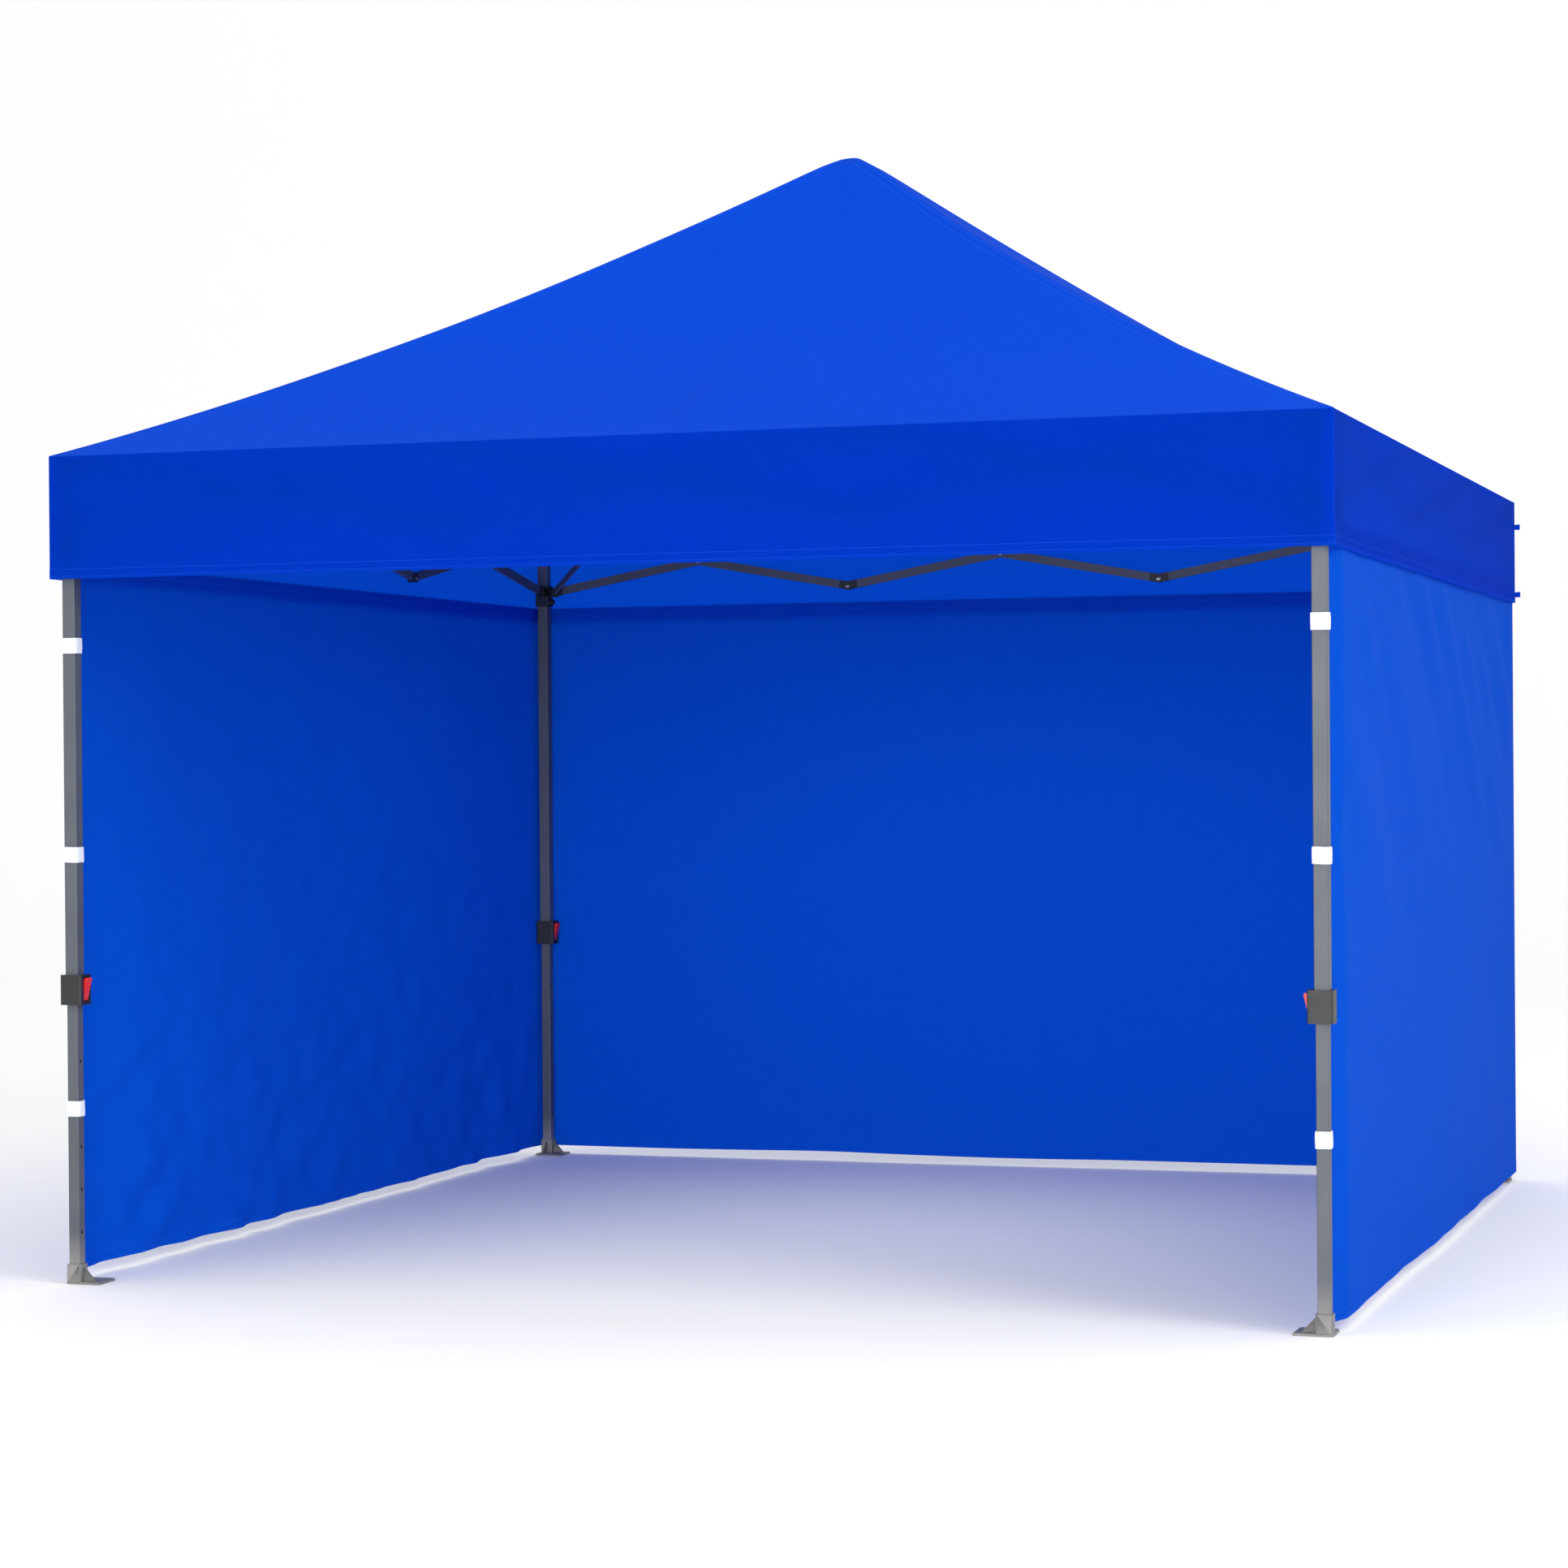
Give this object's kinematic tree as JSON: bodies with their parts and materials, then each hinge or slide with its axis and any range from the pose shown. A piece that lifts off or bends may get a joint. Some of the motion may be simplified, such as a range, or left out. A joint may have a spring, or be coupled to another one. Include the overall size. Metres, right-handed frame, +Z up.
{
  "type": "pop up canopy",
  "caption": "Square pop-up canopy with a scissor frame, telescoping legs, peaked fabric cover with a valance, and sidewalls on all but the front.",
  "frame": {"origin": "on the ground, under the centre of the frame", "axes": "+Z up, the open front faces -Y, +X to the right seen from the front"},
  "size_m": [3.002, 3.002, 2.763],
  "materials": {
    "frame_steel": "hammered grey powder coat",
    "slider_plastic": "black moulded nylon",
    "lever_plastic": "red moulded plastic",
    "button_plastic": "dark moulded plastic",
    "cover_fabric": "royal blue coated polyester",
    "wall_fabric": "royal blue coated polyester",
    "strap_webbing": "white hook-and-loop strap"
  },
  "bodies": {
    "rear_left_outer_leg": {"rear_left_outer_leg": "frame_steel", "cover": "cover_fabric", "sidewalls": "wall_fabric", "wall_straps": "strap_webbing"},
    "rear_truss_down_bar_1": {"rear_truss_down_bar_1": "frame_steel"},
    "rear_truss_up_bar_1": {"rear_truss_up_bar_1": "frame_steel"},
    "rear_truss_up_bar_2": {"rear_truss_up_bar_2": "frame_steel"},
    "rear_truss_down_bar_2": {"rear_truss_down_bar_2": "frame_steel"},
    "rear_truss_up_bar_3": {"rear_truss_up_bar_3": "frame_steel"},
    "rear_truss_down_bar_3": {"rear_truss_down_bar_3": "frame_steel"},
    "rear_right_outer_leg": {"rear_right_outer_leg": "frame_steel"},
    "rear_right_slider": {"rear_right_slider": "slider_plastic"},
    "left_truss_down_bar_1": {"left_truss_down_bar_1": "frame_steel"},
    "left_truss_up_bar_1": {"left_truss_up_bar_1": "frame_steel"},
    "left_truss_up_bar_2": {"left_truss_up_bar_2": "frame_steel"},
    "left_truss_down_bar_2": {"left_truss_down_bar_2": "frame_steel"},
    "left_truss_up_bar_3": {"left_truss_up_bar_3": "frame_steel"},
    "left_truss_down_bar_3": {"left_truss_down_bar_3": "frame_steel"},
    "front_left_outer_leg": {"front_left_outer_leg": "frame_steel"},
    "front_left_slider": {"front_left_slider": "slider_plastic"},
    "rear_left_slider": {"rear_left_slider": "slider_plastic"},
    "front_truss_down_bar_1": {"front_truss_down_bar_1": "frame_steel"},
    "front_truss_up_bar_1": {"front_truss_up_bar_1": "frame_steel"},
    "front_truss_up_bar_2": {"front_truss_up_bar_2": "frame_steel"},
    "front_truss_down_bar_2": {"front_truss_down_bar_2": "frame_steel"},
    "front_truss_up_bar_3": {"front_truss_up_bar_3": "frame_steel"},
    "front_truss_down_bar_3": {"front_truss_down_bar_3": "frame_steel"},
    "front_right_outer_leg": {"front_right_outer_leg": "frame_steel"},
    "front_right_slider": {"front_right_slider": "slider_plastic"},
    "right_truss_down_bar_1": {"right_truss_down_bar_1": "frame_steel"},
    "right_truss_up_bar_1": {"right_truss_up_bar_1": "frame_steel"},
    "right_truss_up_bar_2": {"right_truss_up_bar_2": "frame_steel"},
    "right_truss_down_bar_2": {"right_truss_down_bar_2": "frame_steel"},
    "right_truss_up_bar_3": {"right_truss_up_bar_3": "frame_steel"},
    "right_truss_down_bar_3": {"right_truss_down_bar_3": "frame_steel"},
    "front_left_lower_rafter": {"front_left_lower_rafter": "frame_steel"},
    "front_left_upper_rafter": {"front_left_upper_rafter": "frame_steel"},
    "front_left_rafter_strut": {"front_left_rafter_strut": "frame_steel"},
    "front_left_inner_leg": {"front_left_inner_leg": "frame_steel"},
    "front_left_lock_lever": {"front_left_lock_lever": "lever_plastic"},
    "front_left_slider_button": {"front_left_slider_button": "button_plastic"},
    "front_right_lower_rafter": {"front_right_lower_rafter": "frame_steel"},
    "front_right_upper_rafter": {"front_right_upper_rafter": "frame_steel"},
    "front_right_rafter_strut": {"front_right_rafter_strut": "frame_steel"},
    "front_right_inner_leg": {"front_right_inner_leg": "frame_steel"},
    "front_right_lock_lever": {"front_right_lock_lever": "lever_plastic"},
    "front_right_slider_button": {"front_right_slider_button": "button_plastic"},
    "rear_left_lower_rafter": {"rear_left_lower_rafter": "frame_steel"},
    "rear_left_upper_rafter": {"rear_left_upper_rafter": "frame_steel"},
    "rear_left_rafter_strut": {"rear_left_rafter_strut": "frame_steel"},
    "peak_hub": {"peak_hub": "slider_plastic"},
    "rear_left_inner_leg": {"rear_left_inner_leg": "frame_steel"},
    "rear_left_lock_lever": {"rear_left_lock_lever": "lever_plastic"},
    "rear_left_slider_button": {"rear_left_slider_button": "button_plastic"},
    "rear_right_lower_rafter": {"rear_right_lower_rafter": "frame_steel"},
    "rear_right_upper_rafter": {"rear_right_upper_rafter": "frame_steel"},
    "rear_right_rafter_strut": {"rear_right_rafter_strut": "frame_steel"},
    "rear_right_inner_leg": {"rear_right_inner_leg": "frame_steel"},
    "rear_right_lock_lever": {"rear_right_lock_lever": "lever_plastic"},
    "rear_right_slider_button": {"rear_right_slider_button": "button_plastic"}
  },
  "joints": [
    {"name": "frame_fold", "type": "hinge", "parent": "rear_left_outer_leg", "child": "rear_truss_down_bar_1", "pos_m": [-1.43, 1.465, 1.908], "axis": [0, 1, 0], "range_deg": [0, 75.89], "deforming": ["cover", "sidewalls", "wall_straps"]},
    {"name": "rear_truss_up_bar_1_pivot", "type": "hinge", "parent": "rear_truss_down_bar_1", "child": "rear_truss_up_bar_1", "pos_m": [-0.95333, 1.465, 1.823], "axis": [0, 1, 0], "range_deg": [-156.08, 4.3]},
    {"name": "rear_truss_up_bar_2_pivot", "type": "hinge", "parent": "rear_truss_down_bar_1", "child": "rear_truss_up_bar_2", "pos_m": [-0.47667, 1.465, 1.738], "axis": [0, 1, 0], "range_deg": [-156.08, 4.3]},
    {"name": "rear_truss_down_bar_2_pivot", "type": "hinge", "parent": "rear_truss_up_bar_1", "child": "rear_truss_down_bar_2", "pos_m": [-0.47667, 1.465, 1.908], "axis": [0, 1, 0], "range_deg": [-4.3, 156.08]},
    {"name": "rear_truss_up_bar_3_pivot", "type": "hinge", "parent": "rear_truss_down_bar_2", "child": "rear_truss_up_bar_3", "pos_m": [0.47667, 1.465, 1.738], "axis": [0, 1, 0], "range_deg": [-156.08, 4.3]},
    {"name": "rear_truss_down_bar_3_pivot", "type": "hinge", "parent": "rear_truss_up_bar_2", "child": "rear_truss_down_bar_3", "pos_m": [0.47667, 1.465, 1.908], "axis": [0, 1, 0], "range_deg": [-4.3, 156.08]},
    {"name": "rear_right_leg_pivot", "type": "hinge", "parent": "rear_truss_up_bar_3", "child": "rear_right_outer_leg", "pos_m": [1.43, 1.465, 1.908], "axis": [0, 1, 0], "range_deg": [-2.3, 78.19]},
    {"name": "rear_right_slider_pivot", "type": "hinge", "parent": "rear_truss_down_bar_3", "child": "rear_right_slider", "pos_m": [1.43, 1.465, 1.738], "axis": [0, 1, 0], "range_deg": [-78.19, 2.3]},
    {"name": "left_truss_down_bar_1_pivot", "type": "hinge", "parent": "rear_left_outer_leg", "child": "left_truss_down_bar_1", "pos_m": [-1.465, 1.43, 1.908], "axis": [1, 0, 0], "range_deg": [-2.3, 78.19]},
    {"name": "left_truss_up_bar_1_pivot", "type": "hinge", "parent": "left_truss_down_bar_1", "child": "left_truss_up_bar_1", "pos_m": [-1.465, 0.95333, 1.823], "axis": [1, 0, 0], "range_deg": [-156.08, 4.3]},
    {"name": "left_truss_up_bar_2_pivot", "type": "hinge", "parent": "left_truss_down_bar_1", "child": "left_truss_up_bar_2", "pos_m": [-1.465, 0.47667, 1.738], "axis": [1, 0, 0], "range_deg": [-156.08, 4.3]},
    {"name": "left_truss_down_bar_2_pivot", "type": "hinge", "parent": "left_truss_up_bar_1", "child": "left_truss_down_bar_2", "pos_m": [-1.465, 0.47667, 1.908], "axis": [1, 0, 0], "range_deg": [-4.3, 156.08]},
    {"name": "left_truss_up_bar_3_pivot", "type": "hinge", "parent": "left_truss_down_bar_2", "child": "left_truss_up_bar_3", "pos_m": [-1.465, -0.47667, 1.738], "axis": [1, 0, 0], "range_deg": [-156.08, 4.3]},
    {"name": "left_truss_down_bar_3_pivot", "type": "hinge", "parent": "left_truss_up_bar_2", "child": "left_truss_down_bar_3", "pos_m": [-1.465, -0.47667, 1.908], "axis": [1, 0, 0], "range_deg": [-4.3, 156.08]},
    {"name": "front_left_leg_pivot", "type": "hinge", "parent": "left_truss_up_bar_3", "child": "front_left_outer_leg", "pos_m": [-1.465, -1.43, 1.908], "axis": [1, 0, 0], "range_deg": [-2.3, 78.19]},
    {"name": "front_left_slider_pivot", "type": "hinge", "parent": "left_truss_down_bar_3", "child": "front_left_slider", "pos_m": [-1.465, -1.43, 1.738], "axis": [1, 0, 0], "range_deg": [-78.19, 2.3]},
    {"name": "rear_left_slider_pivot", "type": "hinge", "parent": "left_truss_up_bar_1", "child": "rear_left_slider", "pos_m": [-1.465, 1.43, 1.738], "axis": [1, 0, 0], "range_deg": [-2.3, 78.19]},
    {"name": "front_truss_down_bar_1_pivot", "type": "hinge", "parent": "front_left_outer_leg", "child": "front_truss_down_bar_1", "pos_m": [-1.43, -1.465, 1.908], "axis": [0, 1, 0], "range_deg": [-2.3, 78.19]},
    {"name": "front_truss_up_bar_1_pivot", "type": "hinge", "parent": "front_truss_down_bar_1", "child": "front_truss_up_bar_1", "pos_m": [-0.95333, -1.465, 1.823], "axis": [0, 1, 0], "range_deg": [-156.08, 4.3]},
    {"name": "front_truss_up_bar_2_pivot", "type": "hinge", "parent": "front_truss_down_bar_1", "child": "front_truss_up_bar_2", "pos_m": [-0.47667, -1.465, 1.738], "axis": [0, 1, 0], "range_deg": [-156.08, 4.3]},
    {"name": "front_truss_down_bar_2_pivot", "type": "hinge", "parent": "front_truss_up_bar_1", "child": "front_truss_down_bar_2", "pos_m": [-0.47667, -1.465, 1.908], "axis": [0, 1, 0], "range_deg": [-4.3, 156.08]},
    {"name": "front_truss_up_bar_3_pivot", "type": "hinge", "parent": "front_truss_down_bar_2", "child": "front_truss_up_bar_3", "pos_m": [0.47667, -1.465, 1.738], "axis": [0, 1, 0], "range_deg": [-156.08, 4.3]},
    {"name": "front_truss_down_bar_3_pivot", "type": "hinge", "parent": "front_truss_up_bar_2", "child": "front_truss_down_bar_3", "pos_m": [0.47667, -1.465, 1.908], "axis": [0, 1, 0], "range_deg": [-4.3, 156.08]},
    {"name": "front_right_leg_pivot", "type": "hinge", "parent": "front_truss_up_bar_3", "child": "front_right_outer_leg", "pos_m": [1.43, -1.465, 1.908], "axis": [0, 1, 0], "range_deg": [-2.3, 78.19]},
    {"name": "front_right_slider_pivot", "type": "hinge", "parent": "front_truss_down_bar_3", "child": "front_right_slider", "pos_m": [1.43, -1.465, 1.738], "axis": [0, 1, 0], "range_deg": [-78.19, 2.3]},
    {"name": "right_truss_down_bar_1_pivot", "type": "hinge", "parent": "rear_right_outer_leg", "child": "right_truss_down_bar_1", "pos_m": [1.465, 1.43, 1.908], "axis": [1, 0, 0], "range_deg": [-2.3, 78.19]},
    {"name": "right_truss_up_bar_1_pivot", "type": "hinge", "parent": "right_truss_down_bar_1", "child": "right_truss_up_bar_1", "pos_m": [1.465, 0.95333, 1.823], "axis": [1, 0, 0], "range_deg": [-156.08, 4.3]},
    {"name": "right_truss_up_bar_2_pivot", "type": "hinge", "parent": "right_truss_down_bar_1", "child": "right_truss_up_bar_2", "pos_m": [1.465, 0.47667, 1.738], "axis": [1, 0, 0], "range_deg": [-156.08, 4.3]},
    {"name": "right_truss_down_bar_2_pivot", "type": "hinge", "parent": "right_truss_up_bar_1", "child": "right_truss_down_bar_2", "pos_m": [1.465, 0.47667, 1.908], "axis": [1, 0, 0], "range_deg": [-4.3, 156.08]},
    {"name": "right_truss_up_bar_3_pivot", "type": "hinge", "parent": "right_truss_down_bar_2", "child": "right_truss_up_bar_3", "pos_m": [1.465, -0.47667, 1.738], "axis": [1, 0, 0], "range_deg": [-156.08, 4.3]},
    {"name": "right_truss_down_bar_3_pivot", "type": "hinge", "parent": "right_truss_up_bar_2", "child": "right_truss_down_bar_3", "pos_m": [1.465, -0.47667, 1.908], "axis": [1, 0, 0], "range_deg": [-4.3, 156.08]},
    {"name": "front_left_rafter_pivot", "type": "hinge", "parent": "front_left_outer_leg", "child": "front_left_lower_rafter", "pos_m": [-1.42611, -1.42611, 1.895], "axis": [-0.7071, 0.7071, 0], "range_deg": [-2.65, 91.69]},
    {"name": "front_left_knee_pivot", "type": "hinge", "parent": "front_left_lower_rafter", "child": "front_left_upper_rafter", "pos_m": [-0.6997, -0.6997, 1.96684], "axis": [-0.7071, 0.7071, 0], "range_deg": [-150.44, 4.16]},
    {"name": "front_left_strut_pivot", "type": "hinge", "parent": "front_left_slider", "child": "front_left_rafter_strut", "pos_m": [-1.42611, -1.42611, 1.738], "axis": [-0.7071, 0.7071, 0], "range_deg": [-64.97, 1.96]},
    {"name": "front_left_leg_slide", "type": "slide", "parent": "front_left_outer_leg", "child": "front_left_inner_leg", "axis": [0, 0, 1], "range_m": [0, 0.6]},
    {"name": "front_left_lock_lever_press", "type": "hinge", "parent": "front_left_outer_leg", "child": "front_left_lock_lever", "pos_m": [-1.442, -1.465, 0.667], "axis": [0, -1, 0], "range_deg": [0, 12], "stiffness_Nm_per_rad": 1.5, "springref_deg": -1.15},
    {"name": "front_left_slider_button_press", "type": "slide", "parent": "front_left_slider", "child": "front_left_slider_button", "axis": [-1, 0, 0], "range_m": [0, 0.006], "stiffness_N_per_m": 600, "springref_m": -0.001},
    {"name": "front_right_rafter_pivot", "type": "hinge", "parent": "front_right_outer_leg", "child": "front_right_lower_rafter", "pos_m": [1.42611, -1.42611, 1.895], "axis": [-0.7071, -0.7071, 0], "range_deg": [-2.65, 91.69]},
    {"name": "front_right_knee_pivot", "type": "hinge", "parent": "front_right_lower_rafter", "child": "front_right_upper_rafter", "pos_m": [0.6997, -0.6997, 1.96684], "axis": [-0.7071, -0.7071, 0], "range_deg": [-150.44, 4.16]},
    {"name": "front_right_strut_pivot", "type": "hinge", "parent": "front_right_slider", "child": "front_right_rafter_strut", "pos_m": [1.42611, -1.42611, 1.738], "axis": [-0.7071, -0.7071, 0], "range_deg": [-64.97, 1.96]},
    {"name": "front_right_leg_slide", "type": "slide", "parent": "front_right_outer_leg", "child": "front_right_inner_leg", "axis": [0, 0, 1], "range_m": [0, 0.6]},
    {"name": "front_right_lock_lever_press", "type": "hinge", "parent": "front_right_outer_leg", "child": "front_right_lock_lever", "pos_m": [1.442, -1.465, 0.667], "axis": [0, 1, 0], "range_deg": [0, 12], "stiffness_Nm_per_rad": 1.5, "springref_deg": -1.15},
    {"name": "front_right_slider_button_press", "type": "slide", "parent": "front_right_slider", "child": "front_right_slider_button", "axis": [1, 0, 0], "range_m": [0, 0.006], "stiffness_N_per_m": 600, "springref_m": -0.001},
    {"name": "rear_left_rafter_pivot", "type": "hinge", "parent": "rear_left_outer_leg", "child": "rear_left_lower_rafter", "pos_m": [-1.42611, 1.42611, 1.895], "axis": [0.7071, 0.7071, 0], "range_deg": [-2.65, 91.69]},
    {"name": "rear_left_knee_pivot", "type": "hinge", "parent": "rear_left_lower_rafter", "child": "rear_left_upper_rafter", "pos_m": [-0.6997, 0.6997, 1.96684], "axis": [0.7071, 0.7071, 0], "range_deg": [-150.44, 4.16]},
    {"name": "rear_left_strut_pivot", "type": "hinge", "parent": "rear_left_slider", "child": "rear_left_rafter_strut", "pos_m": [-1.42611, 1.42611, 1.738], "axis": [0.7071, 0.7071, 0], "range_deg": [-64.97, 1.96]},
    {"name": "peak_hub_pivot", "type": "hinge", "parent": "rear_left_upper_rafter", "child": "peak_hub", "pos_m": [-0.03182, 0.03182, 2.57], "axis": [0.7071, 0.7071, 0], "range_deg": [-1.81, 59.05]},
    {"name": "rear_left_leg_slide", "type": "slide", "parent": "rear_left_outer_leg", "child": "rear_left_inner_leg", "axis": [0, 0, 1], "range_m": [0, 0.6]},
    {"name": "rear_left_lock_lever_press", "type": "hinge", "parent": "rear_left_outer_leg", "child": "rear_left_lock_lever", "pos_m": [-1.442, 1.465, 0.667], "axis": [0, -1, 0], "range_deg": [0, 12], "stiffness_Nm_per_rad": 1.5, "springref_deg": -1.15},
    {"name": "rear_left_slider_button_press", "type": "slide", "parent": "rear_left_slider", "child": "rear_left_slider_button", "axis": [-1, 0, 0], "range_m": [0, 0.006], "stiffness_N_per_m": 600, "springref_m": -0.001},
    {"name": "rear_right_rafter_pivot", "type": "hinge", "parent": "rear_right_outer_leg", "child": "rear_right_lower_rafter", "pos_m": [1.42611, 1.42611, 1.895], "axis": [0.7071, -0.7071, 0], "range_deg": [-2.65, 91.69]},
    {"name": "rear_right_knee_pivot", "type": "hinge", "parent": "rear_right_lower_rafter", "child": "rear_right_upper_rafter", "pos_m": [0.6997, 0.6997, 1.96684], "axis": [0.7071, -0.7071, 0], "range_deg": [-150.44, 4.16]},
    {"name": "rear_right_strut_pivot", "type": "hinge", "parent": "rear_right_slider", "child": "rear_right_rafter_strut", "pos_m": [1.42611, 1.42611, 1.738], "axis": [0.7071, -0.7071, 0], "range_deg": [-64.97, 1.96]},
    {"name": "rear_right_leg_slide", "type": "slide", "parent": "rear_right_outer_leg", "child": "rear_right_inner_leg", "axis": [0, 0, 1], "range_m": [0, 0.6]},
    {"name": "rear_right_lock_lever_press", "type": "hinge", "parent": "rear_right_outer_leg", "child": "rear_right_lock_lever", "pos_m": [1.442, 1.465, 0.667], "axis": [0, 1, 0], "range_deg": [0, 12], "stiffness_Nm_per_rad": 1.5, "springref_deg": -1.15},
    {"name": "rear_right_slider_button_press", "type": "slide", "parent": "rear_right_slider", "child": "rear_right_slider_button", "axis": [1, 0, 0], "range_m": [0, 0.006], "stiffness_N_per_m": 600, "springref_m": -0.001}
  ],
  "couplings": [
    {"joint": "rear_truss_up_bar_1_pivot", "follows": "frame_fold", "ratio": -2},
    {"joint": "rear_truss_up_bar_2_pivot", "follows": "frame_fold", "ratio": -2},
    {"joint": "rear_truss_down_bar_2_pivot", "follows": "frame_fold", "ratio": 2},
    {"joint": "rear_truss_up_bar_3_pivot", "follows": "frame_fold", "ratio": -2},
    {"joint": "rear_truss_down_bar_3_pivot", "follows": "frame_fold", "ratio": 2},
    {"joint": "rear_right_leg_pivot", "follows": "frame_fold", "ratio": 1},
    {"joint": "rear_right_slider_pivot", "follows": "frame_fold", "ratio": -1},
    {"joint": "left_truss_down_bar_1_pivot", "follows": "frame_fold", "ratio": 1},
    {"joint": "left_truss_up_bar_1_pivot", "follows": "frame_fold", "ratio": -2},
    {"joint": "left_truss_up_bar_2_pivot", "follows": "frame_fold", "ratio": -2},
    {"joint": "left_truss_down_bar_2_pivot", "follows": "frame_fold", "ratio": 2},
    {"joint": "left_truss_up_bar_3_pivot", "follows": "frame_fold", "ratio": -2},
    {"joint": "left_truss_down_bar_3_pivot", "follows": "frame_fold", "ratio": 2},
    {"joint": "front_left_leg_pivot", "follows": "frame_fold", "ratio": 1},
    {"joint": "front_left_slider_pivot", "follows": "frame_fold", "ratio": -1},
    {"joint": "rear_left_slider_pivot", "follows": "frame_fold", "ratio": 1},
    {"joint": "front_truss_down_bar_1_pivot", "follows": "frame_fold", "ratio": 1},
    {"joint": "front_truss_up_bar_1_pivot", "follows": "frame_fold", "ratio": -2},
    {"joint": "front_truss_up_bar_2_pivot", "follows": "frame_fold", "ratio": -2},
    {"joint": "front_truss_down_bar_2_pivot", "follows": "frame_fold", "ratio": 2},
    {"joint": "front_truss_up_bar_3_pivot", "follows": "frame_fold", "ratio": -2},
    {"joint": "front_truss_down_bar_3_pivot", "follows": "frame_fold", "ratio": 2},
    {"joint": "front_right_leg_pivot", "follows": "frame_fold", "ratio": 1},
    {"joint": "front_right_slider_pivot", "follows": "frame_fold", "ratio": -1},
    {"joint": "right_truss_down_bar_1_pivot", "follows": "frame_fold", "ratio": 1},
    {"joint": "right_truss_up_bar_1_pivot", "follows": "frame_fold", "ratio": -2},
    {"joint": "right_truss_up_bar_2_pivot", "follows": "frame_fold", "ratio": -2},
    {"joint": "right_truss_down_bar_2_pivot", "follows": "frame_fold", "ratio": 2},
    {"joint": "right_truss_up_bar_3_pivot", "follows": "frame_fold", "ratio": -2},
    {"joint": "right_truss_down_bar_3_pivot", "follows": "frame_fold", "ratio": 2},
    {"joint": "front_left_rafter_pivot", "follows": "frame_fold", "ratio": 1.1733},
    {"joint": "front_left_knee_pivot", "follows": "frame_fold", "ratio": -1.9276},
    {"joint": "front_left_strut_pivot", "follows": "frame_fold", "ratio": -0.83028},
    {"joint": "front_right_rafter_pivot", "follows": "frame_fold", "ratio": 1.1733},
    {"joint": "front_right_knee_pivot", "follows": "frame_fold", "ratio": -1.9276},
    {"joint": "front_right_strut_pivot", "follows": "frame_fold", "ratio": -0.83028},
    {"joint": "rear_left_rafter_pivot", "follows": "frame_fold", "ratio": 1.1733},
    {"joint": "rear_left_knee_pivot", "follows": "frame_fold", "ratio": -1.9276},
    {"joint": "rear_left_strut_pivot", "follows": "frame_fold", "ratio": -0.83028},
    {"joint": "peak_hub_pivot", "follows": "frame_fold", "ratio": 0.75434},
    {"joint": "rear_right_rafter_pivot", "follows": "frame_fold", "ratio": 1.1733},
    {"joint": "rear_right_knee_pivot", "follows": "frame_fold", "ratio": -1.9276},
    {"joint": "rear_right_strut_pivot", "follows": "frame_fold", "ratio": -0.83028}
  ]
}
